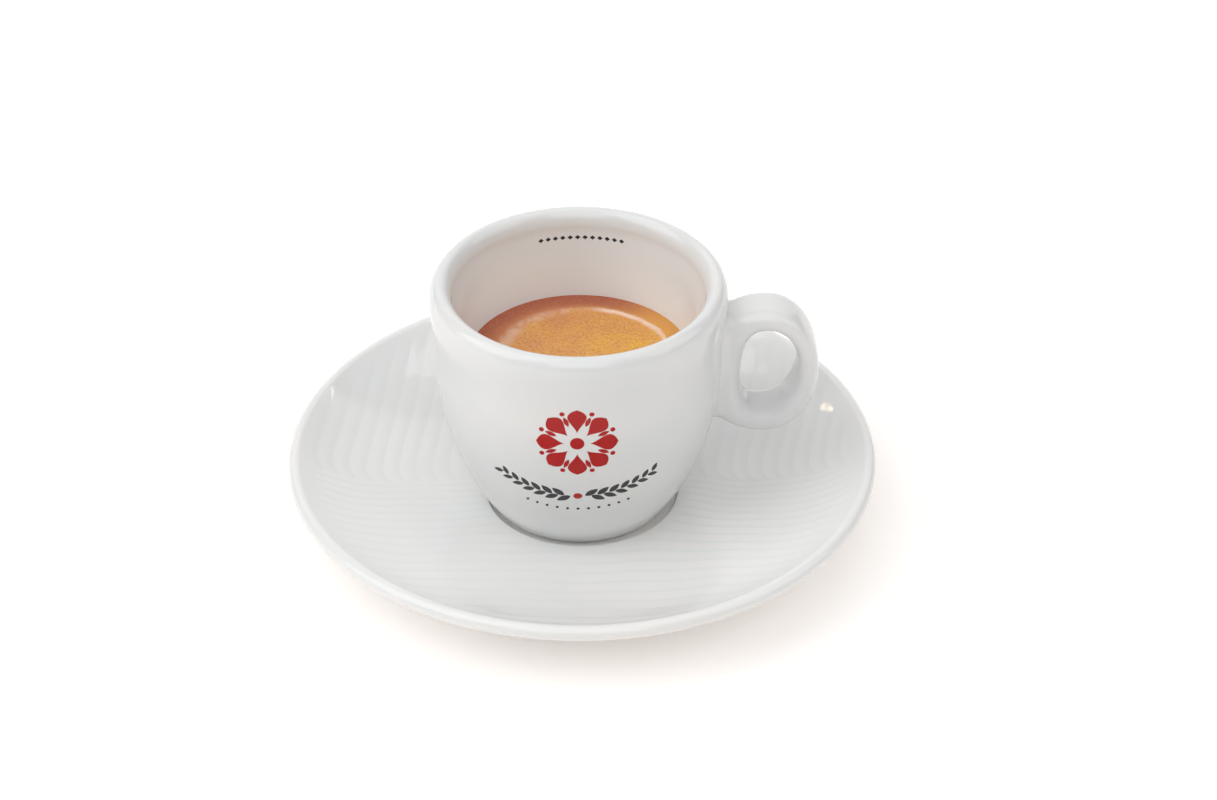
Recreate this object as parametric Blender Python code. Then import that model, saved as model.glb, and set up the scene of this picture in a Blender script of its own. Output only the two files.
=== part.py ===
"""A single espresso in a thick porcelain cup with a wide ring handle, standing on its saucer."""

import math

import bmesh
import bpy

MM = 0.001


def at(radius, height):
    """A point of a turned section, given in millimetres."""
    return radius * MM, height * MM


# Turned pieces
TURN_STEPS = 64
GAP = 0.3 * MM

# Saucer, with its foot on the table at z = 0
SAUCER_RADIUS = 63.7 * MM
SAUCER_RIM_TUBE = 1.6 * MM
SAUCER_RIM_HEIGHT = 16.9 * MM
SAUCER_RIM_START = 124
WELL_FLOOR = 4.8 * MM
WELL_RADIUS = 20.3 * MM
WELL_EDGE_RADIUS = 20.95 * MM
WELL_EDGE_HEIGHT = 6.0 * MM
WELL_EDGE_ROUNDING = 0.3 * MM
SAUCER_FOOT_OUTER = 35.8 * MM
SAUCER_FOOT_INNER = 33.2 * MM
SAUCER_FOOT_DEPTH = 1.5 * MM
SAUCER_FOOT_ROUNDING = 0.4 * MM
SAUCER_FOOT_FILLET = 1.4 * MM
DISH_PULL = at(34.5, 5.9)
DISH_LEAD = at(50.5, 9.6)
UNDERSIDE_PULL = at(54.5, 7.6)
UNDERSIDE_LEAD = at(45.0, 2.6)

# Cup, with its foot at its own z = 0
CUP_SEAT = WELL_FLOOR + GAP
CUP_OFFSET_X = -0.5 * MM
CUP_HEIGHT = 54.85 * MM
CUP_FOOT_RADIUS = 19.12 * MM
CUP_FOOT_FLAT = 18.6 * MM
CUP_FOOT_INNER = 16.0 * MM
CUP_FOOT_DEPTH = 1.6 * MM
CUP_FOOT_ROUNDING = 0.3 * MM
CUP_FOOT_FILLET = 1.2 * MM
CUP_WAIST_RADIUS = 30.7 * MM
CUP_WAIST_HEIGHT = 36.4 * MM
LIP_RADIUS = 29.1 * MM
LIP_HALF_WALL = 2.38 * MM
LIP_ROUNDING = 3.93 * MM
BELLY_PULL = at(30.7, 21.7)
BELLY_LEAD = at(24.4, 7.5)
FLARE_PULL = at(31.48, 46.5)
FLARE_LEAD = at(30.7, 45.4)
THROAT_PULL = at(24.6, 40.6)
THROAT_LEAD = at(25.8, 45.5)
BOWL_PULL = at(21.4, 21.5)
BOWL_LEAD = at(17.5, 7.2)
BOWL_FLOOR = BOWL_LEAD[1]

# Drink
DRINK_LEVEL = 35.85 * MM
DRINK_RADIUS = 23.7 * MM

# Handle: a ring whose outer and inner outlines are egg shaped, in the cup's XZ plane
RING_CENTRE_X = 40.0 * MM
RING_CENTRE_Z = 33.85 * MM
RING_HALF_HEIGHT = 15.1 * MM
RING_REACH = 11.0 * MM
RING_ROOT = 15.0 * MM
RING_ROOT_SQUARENESS = 2.2
HOLE_CENTRE_X = 39.05 * MM
HOLE_CENTRE_Z = 34.05 * MM
HOLE_HALF_HEIGHT = 9.95 * MM
HOLE_REACH = 7.21 * MM
HOLE_ROOT = 4.57 * MM
HOLE_ROOT_SQUARENESS = 2.34
HOLE_LEAN = 0.07
RING_HALF_WIDTH = 5.5 * MM
RING_OUTER_SQUARENESS = 3.2
RING_INNER_SQUARENESS = 2.6
RING_STEPS = 40
RING_SECTION_STEPS = 16

SMOOTH_ANGLE = math.radians(40)


def clear_scene():
    for obj in list(bpy.data.objects):
        bpy.data.objects.remove(obj)


def bezier(start, pull, lead, end, count):
    """Points of a cubic curve from start to end, without the start itself."""
    points = []
    for i in range(1, count + 1):
        t = i / count
        s = 1 - t
        weights = (s**3, 3 * s * s * t, 3 * s * t * t, t**3)
        corners = (start, pull, lead, end)
        points.append(tuple(sum(w * c[k] for w, c in zip(weights, corners)) for k in (0, 1)))
    return points


def arc(centre, radii, start_degrees, end_degrees, count):
    """Points of an elliptical arc in the (radius, height) plane, ends included."""
    points = []
    for i in range(count + 1):
        angle = math.radians(start_degrees + (end_degrees - start_degrees) * i / count)
        points.append((centre[0] + radii[0] * math.cos(angle), centre[1] + radii[1] * math.sin(angle)))
    return points


def material(name, colour, roughness):
    made = bpy.data.materials.new(name)
    made.use_nodes = True
    shader = made.node_tree.nodes["Principled BSDF"]
    shader.inputs["Base Color"].default_value = (*colour, 1.0)
    shader.inputs["Roughness"].default_value = roughness
    shader.inputs["Metallic"].default_value = 0.0
    return made


def turned(name, profile, look):
    """A closed body of revolution. The profile starts and ends on the axis and runs down its outer side."""
    mesh = bpy.data.meshes.new(name)
    edges = [(i, i + 1) for i in range(len(profile) - 1)]
    mesh.from_pydata([(radius, 0.0, height) for radius, height in profile], edges, [])
    obj = bpy.data.objects.new(name, mesh)
    bpy.context.scene.collection.objects.link(obj)
    screw = obj.modifiers.new("Turn", "SCREW")
    screw.axis = "Z"
    screw.steps = TURN_STEPS
    screw.render_steps = TURN_STEPS
    screw.use_merge_vertices = True
    screw.merge_threshold = 0.01 * MM
    screw.use_smooth_shade = True
    mesh.materials.append(look)
    return obj


def applied(obj):
    """The same object with its modifiers made part of the mesh."""
    graph = bpy.context.evaluated_depsgraph_get()
    mesh = bpy.data.meshes.new_from_object(obj.evaluated_get(graph))
    obj.modifiers.clear()
    obj.data = mesh
    mesh.name = obj.name
    return obj


def smoothed(obj):
    obj.data.shade_smooth()
    obj.data.set_sharp_from_angle(angle=SMOOTH_ANGLE)


def bowl_curve(gap):
    """The inside of the cup below the drink's level, from the wall to the axis, moved inwards by a gap."""
    floor = BOWL_FLOOR + gap
    start = (DRINK_RADIUS - gap, DRINK_LEVEL)
    pull = (BOWL_PULL[0] - gap, BOWL_PULL[1])
    lead = (BOWL_LEAD[0] - gap, floor)
    return bezier(start, pull, lead, (0.0, floor), 11)


def cup_profile():
    """The cup's section: up the inside, over the lip, down the outside, under the foot."""
    lip_base = CUP_HEIGHT - LIP_ROUNDING
    lip_inner = LIP_RADIUS - LIP_HALF_WALL
    waist = (CUP_WAIST_RADIUS, CUP_WAIST_HEIGHT)
    inside = bowl_curve(0.0)[::-1] + [(DRINK_RADIUS, DRINK_LEVEL)]
    inside += bezier(inside[-1], THROAT_PULL, THROAT_LEAD, (lip_inner, lip_base), 4)
    lip = arc((LIP_RADIUS, lip_base), (LIP_HALF_WALL, LIP_ROUNDING), 180, 0, 10)
    flare = bezier(lip[-1], FLARE_PULL, FLARE_LEAD, waist, 5)
    belly = bezier(waist, BELLY_PULL, BELLY_LEAD, (CUP_FOOT_RADIUS, CUP_FOOT_ROUNDING), 11)
    foot = [
        (CUP_FOOT_FLAT, 0.0),
        (CUP_FOOT_INNER, 0.0),
        (CUP_FOOT_INNER - CUP_FOOT_FILLET / 2, CUP_FOOT_DEPTH - CUP_FOOT_ROUNDING),
        (CUP_FOOT_INNER - CUP_FOOT_FILLET, CUP_FOOT_DEPTH),
        (0.0, CUP_FOOT_DEPTH),
    ]
    return inside + lip[1:] + flare + belly + foot


def outline(angle, reach, root, half_height, root_squareness):
    """A point of an egg-shaped outline from its own centre: an ellipse on the side away from the cup,
    and a squarer curve on the side of the cup."""
    across = math.cos(angle)
    up = math.sin(angle)
    power = 1.0 if across >= 0 else 2.0 / root_squareness
    width = reach if across >= 0 else root
    x = math.copysign(abs(across) ** power, across) * width
    z = math.copysign(abs(up) ** power, up) * half_height
    return x, z


def outer_outline(angle):
    x, z = outline(angle, RING_REACH, RING_ROOT, RING_HALF_HEIGHT, RING_ROOT_SQUARENESS)
    return RING_CENTRE_X + x, RING_CENTRE_Z + z


def hole_outline(angle):
    """The hole's outline, whose top leans away from the cup."""
    x, z = outline(angle, HOLE_REACH, HOLE_ROOT, HOLE_HALF_HEIGHT, HOLE_ROOT_SQUARENESS)
    return HOLE_CENTRE_X + x + HOLE_LEAN * z, HOLE_CENTRE_Z + z


def section(angle):
    """A point of the handle's section, from -1 to 1 across its thickness and along its width. It is
    rounder on the side of the hole."""
    squareness = RING_OUTER_SQUARENESS if math.cos(angle) >= 0 else RING_INNER_SQUARENESS
    power = 2.0 / squareness
    across = math.copysign(abs(math.cos(angle)) ** power, math.cos(angle))
    along = math.copysign(abs(math.sin(angle)) ** power, math.sin(angle))
    return across, along


def make_ring():
    """The handle as a closed loop of rounded bar, its inner end buried in the cup's wall."""
    mesh = bpy.data.meshes.new("handle_ring")
    built = bmesh.new()
    loops = []
    for i in range(RING_STEPS):
        angle = 2 * math.pi * i / RING_STEPS
        outer = outer_outline(angle)
        inner = hole_outline(angle)
        middle = [(a + b) / 2 for a, b in zip(outer, inner)]
        half = [(a - b) / 2 for a, b in zip(outer, inner)]
        loop = []
        for j in range(RING_SECTION_STEPS):
            across, along = section(2 * math.pi * j / RING_SECTION_STEPS)
            x = middle[0] + half[0] * across
            z = middle[1] + half[1] * across
            loop.append(built.verts.new((x, RING_HALF_WIDTH * along, z)))
        loops.append(loop)
    for i, loop in enumerate(loops):
        after = loops[(i + 1) % RING_STEPS]
        for j in range(RING_SECTION_STEPS):
            k = (j + 1) % RING_SECTION_STEPS
            built.faces.new((loop[j], loop[k], after[k], after[j]))
    bmesh.ops.recalc_face_normals(built, faces=built.faces)
    built.to_mesh(mesh)
    built.free()
    ring = bpy.data.objects.new("handle_ring", mesh)
    bpy.context.scene.collection.objects.link(ring)
    ring.hide_render = True
    ring.display_type = "WIRE"
    return ring


def make_cup(look):
    """The cup's turned body and its handle, fired as one piece."""
    cup = applied(turned("cup", cup_profile(), look))
    ring = make_ring()
    join = cup.modifiers.new("Handle", "BOOLEAN")
    join.operation = "UNION"
    join.object = ring
    applied(cup)
    bpy.data.objects.remove(ring)
    smoothed(cup)
    return cup


def make_drink(look):
    """The espresso up to its level, clear of the bowl by the gap."""
    top = [(0.0, DRINK_LEVEL), (DRINK_RADIUS - GAP, DRINK_LEVEL)]
    drink = applied(turned("espresso", top + bowl_curve(GAP), look))
    smoothed(drink)
    return drink


def saucer_profile():
    """The saucer's section: out over the sunken well and the dish, round the rolled rim, in along the
    underside to the foot."""
    rim = (SAUCER_RADIUS - SAUCER_RIM_TUBE, SAUCER_RIM_HEIGHT - SAUCER_RIM_TUBE)
    roll = arc(rim, (SAUCER_RIM_TUBE, SAUCER_RIM_TUBE), SAUCER_RIM_START, -75, 9)
    well = [
        (0.0, WELL_FLOOR),
        (WELL_RADIUS, WELL_FLOOR),
        (WELL_EDGE_RADIUS - WELL_EDGE_ROUNDING / 2, WELL_EDGE_HEIGHT - WELL_EDGE_ROUNDING),
        (WELL_EDGE_RADIUS + WELL_EDGE_ROUNDING / 2, WELL_EDGE_HEIGHT),
    ]
    dish = bezier(well[-1], DISH_PULL, DISH_LEAD, roll[0], 9)
    foot_top = (SAUCER_FOOT_OUTER + SAUCER_FOOT_FILLET, SAUCER_FOOT_DEPTH + SAUCER_FOOT_ROUNDING)
    under = bezier(roll[-1], UNDERSIDE_PULL, UNDERSIDE_LEAD, foot_top, 7)
    foot = [
        (SAUCER_FOOT_OUTER + SAUCER_FOOT_ROUNDING, SAUCER_FOOT_ROUNDING),
        (SAUCER_FOOT_OUTER, 0.0),
        (SAUCER_FOOT_INNER, 0.0),
        (SAUCER_FOOT_INNER - SAUCER_FOOT_FILLET / 2, SAUCER_FOOT_DEPTH - SAUCER_FOOT_ROUNDING),
        (SAUCER_FOOT_INNER - SAUCER_FOOT_FILLET, SAUCER_FOOT_DEPTH),
        (0.0, SAUCER_FOOT_DEPTH),
    ]
    return well + dish + roll[1:] + under + foot


def make_saucer(look):
    saucer = applied(turned("saucer", saucer_profile(), look))
    smoothed(saucer)
    return saucer


def main():
    clear_scene()
    porcelain = material("white_porcelain", (0.84, 0.83, 0.81), 0.12)
    crema = material("espresso_crema", (0.46, 0.22, 0.08), 0.35)
    cup = make_cup(porcelain)
    drink = make_drink(crema)
    make_saucer(porcelain)
    cup.location = (CUP_OFFSET_X, 0.0, CUP_SEAT)
    drink.parent = cup


main()
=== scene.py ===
"""Looks of a single espresso in a thick porcelain cup on its ribbed saucer."""

import math

import bmesh
import bpy
import numpy as np
from bpy.props import FloatProperty, FloatVectorProperty, IntProperty, PointerProperty
from mathutils import Matrix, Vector
from mathutils.kdtree import KDTree


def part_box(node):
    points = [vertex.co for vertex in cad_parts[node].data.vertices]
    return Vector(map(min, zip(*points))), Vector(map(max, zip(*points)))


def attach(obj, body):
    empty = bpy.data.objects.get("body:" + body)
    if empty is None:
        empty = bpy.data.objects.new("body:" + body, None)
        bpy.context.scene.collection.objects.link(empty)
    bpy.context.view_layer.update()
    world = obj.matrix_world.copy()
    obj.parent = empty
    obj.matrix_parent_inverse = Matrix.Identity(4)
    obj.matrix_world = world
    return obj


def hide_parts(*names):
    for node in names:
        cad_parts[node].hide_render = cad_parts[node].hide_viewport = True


bl_info = {
    "name": "Espresso Cup",
    "version": (1, 0, 0),
    "blender": (4, 5, 0),
    "location": "3D View > Sidebar > Espresso",
    "description": "Builds the looks of an espresso, its porcelain cup and its ribbed saucer",
    "category": "Object",
}

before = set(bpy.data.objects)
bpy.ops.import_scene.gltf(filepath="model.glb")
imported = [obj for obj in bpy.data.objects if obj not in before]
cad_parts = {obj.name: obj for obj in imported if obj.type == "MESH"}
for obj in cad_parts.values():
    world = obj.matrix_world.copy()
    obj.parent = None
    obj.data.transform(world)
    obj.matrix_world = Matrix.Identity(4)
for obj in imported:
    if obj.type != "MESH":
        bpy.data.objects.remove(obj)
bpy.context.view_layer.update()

MM = 0.001

# Places taken from the frame: the cup's axis, its seat in the saucer, and the drink's level
cup_low, cup_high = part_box("cup")
_, drink_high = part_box("espresso")
_, saucer_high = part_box("saucer")
CUP_X = cup_low.x + cup_high.y
CUP_SEAT = cup_low.z
CUP_RADIUS = cup_high.y
CUP_HEIGHT = cup_high.z - cup_low.z

# The cup's section in millimetres, at its drawn radius and height
DRAWN_RADIUS = 31.48
DRAWN_HEIGHT = 54.85
LIP_RADIUS = 29.1
LIP_HALF_WALL = 2.38
LIP_ROUNDING = 3.93
LIP_BASE = DRAWN_HEIGHT - LIP_ROUNDING
WAIST = (30.7, 36.4)
BELLY_PULL = (30.7, 21.7)
BELLY_LEAD = (24.4, 7.5)
FLARE_PULL = (31.48, 46.5)
FLARE_LEAD = (30.7, 45.4)
THROAT_PULL = (24.6, 40.6)
THROAT_LEAD = (25.8, 45.5)
LEVEL = (23.7, 35.85)
BOWL_PULL = (21.4, 21.5)
BOWL_LEAD = (17.5, 7.2)
BOWL_FLOOR = (0.0, 7.2)
FOOT_EDGE = (19.12, 0.3)
FOOT_RISE = 0.7
FOOT_FLAT = (18.2, 0.0)
FOOT_INNER = (16.1, 0.0)
FOOT_DEPTH = 1.6
FOOT_HOLLOW = (14.8, FOOT_DEPTH)

# The handle's outlines in millimetres, in the cup's XZ plane
RING_CENTRE = (40.0, 33.85)
RING_HALF_HEIGHT = 15.1
RING_REACH = 11.0
RING_ROOT = 15.0
RING_ROOT_SQUARENESS = 2.2
HOLE_CENTRE = (39.05, 34.05)
HOLE_HALF_HEIGHT = 9.95
HOLE_REACH = 7.21
HOLE_ROOT = 4.57
HOLE_ROOT_SQUARENESS = 2.34
HOLE_LEAN = 0.07
RING_OUTER_SQUARENESS = 3.2
RING_INNER_SQUARENESS = 2.6
RING_LOOPS = 280
RING_STEPS = 96

# How the handle meets the wall: the swell's reach in fillets and the depth in the wall where it ends,
# then how far from the crease points are evened out, how often, and what counts as the crease
SWELL_REACH = 1.3
SWELL_DEPTH = 3.0
JOINT_REACH = 1.4
JOINT_ROUNDS = 8
JOINT_NEAR = 0.2
JOINT_CREASE = math.radians(14)

# The saucer's section in millimetres
SAUCER_RADIUS = 63.7
RIM_TUBE = 1.6
RIM_HEIGHT = 16.9
RIM_START = 124
WELL = (20.3, 4.8)
WELL_EDGE = (21.1, 6.0)
DISH_PULL = (34.5, 5.9)
DISH_LEAD = (50.5, 9.6)
UNDERSIDE_PULL = (54.5, 7.6)
UNDERSIDE_LEAD = (45.0, 2.6)
SAUCER_FOOT_OUTER = 35.8
SAUCER_FOOT_INNER = 33.2
SAUCER_FOOT_DEPTH = 1.5

# The saucer's ribs: the front ones' growth and step, the back ones' width and the radii between which
# they fade, in millimetres, and the share of a rib that its rise takes up
FRONT_RIB_GROWTH = 0.023
FRONT_RIB_STEP = 0.051
BACK_RIB_WIDTH = 3.45
RIBS_START = (21.4, 24.0)
RIBS_END = (57.0, 60.8)
MESH_RIB_RISE = 0.28
GLAZE_RIB_RISE = 0.1

# The drink in millimetres: how far it reaches into the wall, and how its edge and ring rise
WALL_REACH = 0.12
MENISCUS_WIDTH = 0.4
CREMA_RING_RADIUS = 19.0
CREMA_RING_WIDTH = 0.8
CREMA_RING_HEIGHT = 0.1

# The rosette's drawn radius in millimetres
DRAWN_ROSETTE = 8.6

# The print in metres: its thickness, the heights of its middles above the cup's seat, the radius of the
# garland's bow, and the step of the row inside the lip
PRINT_THICKNESS = 0.03 * MM
ROSETTE_MIDDLE = 34.6 * MM
GARLAND_MIDDLE = 19.4 * MM
LIP_ROW_MIDDLE = 49.0 * MM
GARLAND_BOW = 34.4 * MM
LIP_ROW_STEP = 1.62 * MM

# The stage in metres: where the lights aim, the floor's half width and its depth below the part
LIGHT_AIM = (0, 0, 0.03)
FLOOR_REACH = 4.0
FLOOR_DEPTH = 0.02 * MM

# The camera of the photo: its lens, its place in front of the cup and above the floor, and its turns
CAMERA_LENS = 94.66
CAMERA_PLACE = (-564.87 * MM, 422.47 * MM)
CAMERA_TURNS = ((-0.634, "Z"), (90 - 34.84, "X"), (-0.068, "Z"))


def tone(red, green, blue):
    """A display colour, 0 to 255 a channel, as linear light."""
    shares = [channel / 255 for channel in (red, green, blue)]
    return tuple(s / 12.92 if s <= 0.04045 else ((s + 0.055) / 1.055) ** 2.4 for s in shares)


# Node trees


class Value:
    """An output socket of a node tree that Python arithmetic works on."""

    def __init__(self, graph, socket):
        self.graph = graph
        self.socket = socket

    def __add__(self, other):
        return self.graph.maths("ADD", self, other)

    def __radd__(self, other):
        return self.graph.maths("ADD", other, self)

    def __sub__(self, other):
        return self.graph.maths("SUBTRACT", self, other)

    def __rsub__(self, other):
        return self.graph.maths("SUBTRACT", other, self)

    def __mul__(self, other):
        return self.graph.maths("MULTIPLY", self, other)

    def __rmul__(self, other):
        return self.graph.maths("MULTIPLY", other, self)

    def __truediv__(self, other):
        return self.graph.maths("DIVIDE", self, other)

    def __pow__(self, other):
        return self.graph.maths("POWER", self, other)

    def __neg__(self):
        return self.graph.maths("MULTIPLY", self, -1.0)


def find_socket(sockets, key):
    """A socket by its index, its identifier or its name."""
    if isinstance(key, int):
        return sockets[key]
    for socket in sockets:
        if socket.identifier == key:
            return socket
    return sockets[key]


class Graph:
    """Writes a shader or geometry tree from Python expressions."""

    def __init__(self, tree):
        self.tree = tree

    def node(self, kind, settings=None, inputs=None):
        made = self.tree.nodes.new(kind)
        for key, value in (settings or {}).items():
            setattr(made, key, value)
        for key, value in (inputs or {}).items():
            self.feed(find_socket(made.inputs, key), value)
        return made

    def feed(self, socket, value):
        if isinstance(value, Value):
            self.tree.links.new(value.socket, socket)
        elif socket.type == "RGBA":
            socket.default_value = (*value, 1.0)[:4]
        else:
            socket.default_value = value

    def out(self, node, key=0):
        return Value(self, find_socket(node.outputs, key))

    def maths(self, operation, *operands):
        inputs = dict(enumerate(operands))
        return self.out(self.node("ShaderNodeMath", {"operation": operation}, inputs))

    def exp(self, value):
        return self.maths("EXPONENT", value)

    def sin(self, value):
        return self.maths("SINE", value)

    def log(self, value):
        return self.maths("LOGARITHM", value, math.e)

    def size(self, value):
        return self.maths("ABSOLUTE", value)

    def fraction(self, value):
        return self.maths("FRACT", value)

    def larger(self, value, other):
        return self.maths("MAXIMUM", value, other)

    def smooth(self, value, low, high):
        """0 below low and 1 above high, with a soft step between."""
        inputs = {"Value": value, "From Min": low, "From Max": high}
        return self.out(self.node("ShaderNodeMapRange", {"interpolation_type": "SMOOTHSTEP"}, inputs))

    def noise(self, place, scale, detail=2.0, roughness=0.5):
        inputs = {"Vector": place, "Scale": scale, "Detail": detail, "Roughness": roughness}
        return self.out(self.node("ShaderNodeTexNoise", None, inputs))

    def mix(self, factor, first, second):
        settings = {"data_type": "RGBA"}
        inputs = {"Factor_Float": factor, "A_Color": first, "B_Color": second}
        return self.out(self.node("ShaderNodeMix", settings, inputs), "Result_Color")

    def parts(self, vector):
        apart = self.node("ShaderNodeSeparateXYZ", None, {"Vector": vector})
        return [self.out(apart, axis) for axis in ("X", "Y", "Z")]

    def joined(self, x, y, z):
        return self.out(self.node("ShaderNodeCombineXYZ", None, {"X": x, "Y": y, "Z": z}))


class Numbers:
    """The same functions as Graph's, on arrays."""

    def exp(self, value):
        return np.exp(value)

    def sin(self, value):
        return np.sin(value)

    def log(self, value):
        return np.log(value)

    def size(self, value):
        return np.abs(value)

    def fraction(self, value):
        return value - np.floor(value)

    def larger(self, value, other):
        return np.maximum(value, other)

    def smooth(self, value, low, high):
        share = np.clip((value - low) / (high - low), 0, 1)
        return share * share * (3 - 2 * share)


def modifier_tree(name, sockets):
    """A geometry tree with these named inputs. The first input is the object's own mesh."""
    tree = bpy.data.node_groups.new(name, "GeometryNodeTree")
    tree.is_modifier = True
    for label, kind in sockets:
        tree.interface.new_socket(label, in_out="INPUT", socket_type=kind)
    tree.interface.new_socket("Made", in_out="OUTPUT", socket_type="NodeSocketGeometry")
    return tree, Graph(tree)


def finish_tree(graph, geometry, look):
    real = graph.node("GeometryNodeRealizeInstances", None, {"Geometry": geometry})
    painted = graph.node("GeometryNodeSetMaterial", None, {"Geometry": graph.out(real), "Material": look})
    graph.node("NodeGroupOutput", None, {"Made": graph.out(painted)})


def turning_tree():
    """Turns a section, given as a row of points in XZ, into a closed body round Z."""
    sockets = (
        ("Section", "NodeSocketGeometry"),
        ("Steps", "NodeSocketInt"),
        ("Material", "NodeSocketMaterial"),
    )
    tree, graph = modifier_tree("Turn a section", sockets)
    start = graph.node("NodeGroupInput")
    section, steps, look = (graph.out(start, label) for label, _ in sockets)
    size = graph.node("GeometryNodeAttributeDomainSize", None, {"Geometry": section})
    count = graph.out(size, "Point Count")
    rows = steps + 1
    grid = graph.node("GeometryNodeMeshGrid", None, {"Vertices X": count, "Vertices Y": rows})
    index = graph.out(graph.node("GeometryNodeInputIndex"))
    along = graph.maths("FLOOR", (index + 0.5) / rows)
    angle = (index - along * rows) * (2 * math.pi) / steps
    settings = {"data_type": "FLOAT_VECTOR", "domain": "POINT"}
    position = graph.out(graph.node("GeometryNodeInputPosition"))
    sampled = graph.node(
        "GeometryNodeSampleIndex", settings, {"Geometry": section, "Value": position, "Index": along}
    )
    radius, _, height = graph.parts(graph.out(sampled))
    place = graph.joined(radius * graph.maths("COSINE", angle), radius * graph.sin(angle), height)
    turned = graph.node("GeometryNodeSetPosition", None, {"Geometry": graph.out(grid), "Position": place})
    closed = graph.node(
        "GeometryNodeMergeByDistance", None, {"Geometry": graph.out(turned), "Distance": 0.001 * MM}
    )
    finish_tree(graph, graph.out(closed), look)
    return tree


def repeating_tree():
    """Repeats a flat motif along an arc, leaning to one side and the other by turns."""
    sockets = (
        ("Motif", "NodeSocketGeometry"),
        ("Count", "NodeSocketInt"),
        ("Radius", "NodeSocketFloat"),
        ("First Angle", "NodeSocketFloat"),
        ("Step Angle", "NodeSocketFloat"),
        ("Heading", "NodeSocketFloat"),
        ("Lean", "NodeSocketFloat"),
        ("End Scale", "NodeSocketFloat"),
        ("Material", "NodeSocketMaterial"),
    )
    tree, graph = modifier_tree("Repeat along an arc", sockets)
    start = graph.node("NodeGroupInput")
    values = [graph.out(start, label) for label, _ in sockets]
    motif, count, radius, first, step, heading, lean, end_scale, look = values
    index = graph.out(graph.node("GeometryNodeInputIndex"))
    angle = first + step * index
    place = graph.joined(radius * graph.maths("COSINE", angle), radius * graph.sin(angle), 0.0)
    points = graph.node("GeometryNodePoints", None, {"Count": count, "Position": place})
    side = 1.0 - 2.0 * graph.maths("MODULO", index, 2.0)
    scale = 1.0 + (end_scale - 1.0) * index / count
    inputs = {
        "Points": graph.out(points),
        "Instance": motif,
        "Rotation": graph.joined(0.0, 0.0, angle + heading + lean * side),
        "Scale": graph.joined(scale, scale, 1.0),
    }
    finish_tree(graph, graph.out(graph.node("GeometryNodeInstanceOnPoints", None, inputs)), look)
    return tree


def placed(name, data):
    """A new object in the scene."""
    obj = bpy.data.objects.new(name, data)
    bpy.context.scene.collection.objects.link(obj)
    return obj


def grown(name, points, edges, faces, tree, values):
    """The plain mesh that a geometry tree makes from these points."""
    mesh = bpy.data.meshes.new(name)
    mesh.from_pydata(points, edges, faces)
    obj = placed(name, mesh)
    modifier = obj.modifiers.new(name, "NODES")
    modifier.node_group = tree
    identifiers = {item.name: item.identifier for item in tree.interface.items_tree}
    for label, value in values.items():
        modifier[identifiers[label]] = value
    graph = bpy.context.evaluated_depsgraph_get()
    made = bpy.data.meshes.new_from_object(obj.evaluated_get(graph))
    obj.modifiers.clear()
    obj.data = made
    if not made.polygons:
        raise RuntimeError(f"{name}: the tree made no faces")
    made.materials.clear()
    made.materials.append(values["Material"])
    made.polygons.foreach_set("material_index", [0] * len(made.polygons))
    return obj


# Shapes


def bezier(start, pull, lead, end, count):
    """Points of a cubic curve from start to end, without the start itself."""
    t = np.linspace(0, 1, count + 1)[1:, None]
    s = 1 - t
    corners = [np.array(corner, float) for corner in (start, pull, lead, end)]
    return s**3 * corners[0] + 3 * s * s * t * corners[1] + 3 * s * t * t * corners[2] + t**3 * corners[3]


def arc(centre, radii, start_degrees, end_degrees, count):
    """Points of an elliptical arc in the (radius, height) plane, ends included."""
    angles = np.radians(np.linspace(start_degrees, end_degrees, count + 1))
    return np.column_stack((centre[0] + radii[0] * np.cos(angles), centre[1] + radii[1] * np.sin(angles)))


def cup_inside():
    """The cup's inner line from the floor's centre to the lip, in millimetres."""
    bowl = bezier(LEVEL, BOWL_PULL, BOWL_LEAD, BOWL_FLOOR, 28)[::-1]
    throat = bezier(LEVEL, THROAT_PULL, THROAT_LEAD, (LIP_RADIUS - LIP_HALF_WALL, LIP_BASE), 14)
    return np.vstack((bowl, [LEVEL], throat))


def cup_outside():
    """The cup's outer line from the lip down to its foot, in millimetres."""
    start = (LIP_RADIUS + LIP_HALF_WALL, LIP_BASE)
    flare = bezier(start, FLARE_PULL, FLARE_LEAD, WAIST, 16)
    belly = bezier(WAIST, BELLY_PULL, BELLY_LEAD, FOOT_EDGE, 44)
    return np.vstack(([start], flare, belly))


def cup_section():
    lip = arc((LIP_RADIUS, LIP_BASE), (LIP_HALF_WALL, LIP_ROUNDING), 180, 0, 30)
    outside = cup_outside()
    outside = outside[outside[:, 1] > FOOT_RISE]
    edge = bezier(outside[-1], (outside[-1][0] - 0.35, 0.25), (18.4, 0.5), FOOT_FLAT, 8)
    hollow = bezier(FOOT_INNER, (15.5, 0.0), (15.8, FOOT_DEPTH), FOOT_HOLLOW, 8)
    under = [(radius, FOOT_DEPTH) for radius in (11.0, 7.0, 3.0, 0.0)]
    return np.vstack((cup_inside(), lip[1:-1], outside, edge, [FOOT_INNER], hollow, under))


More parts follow.
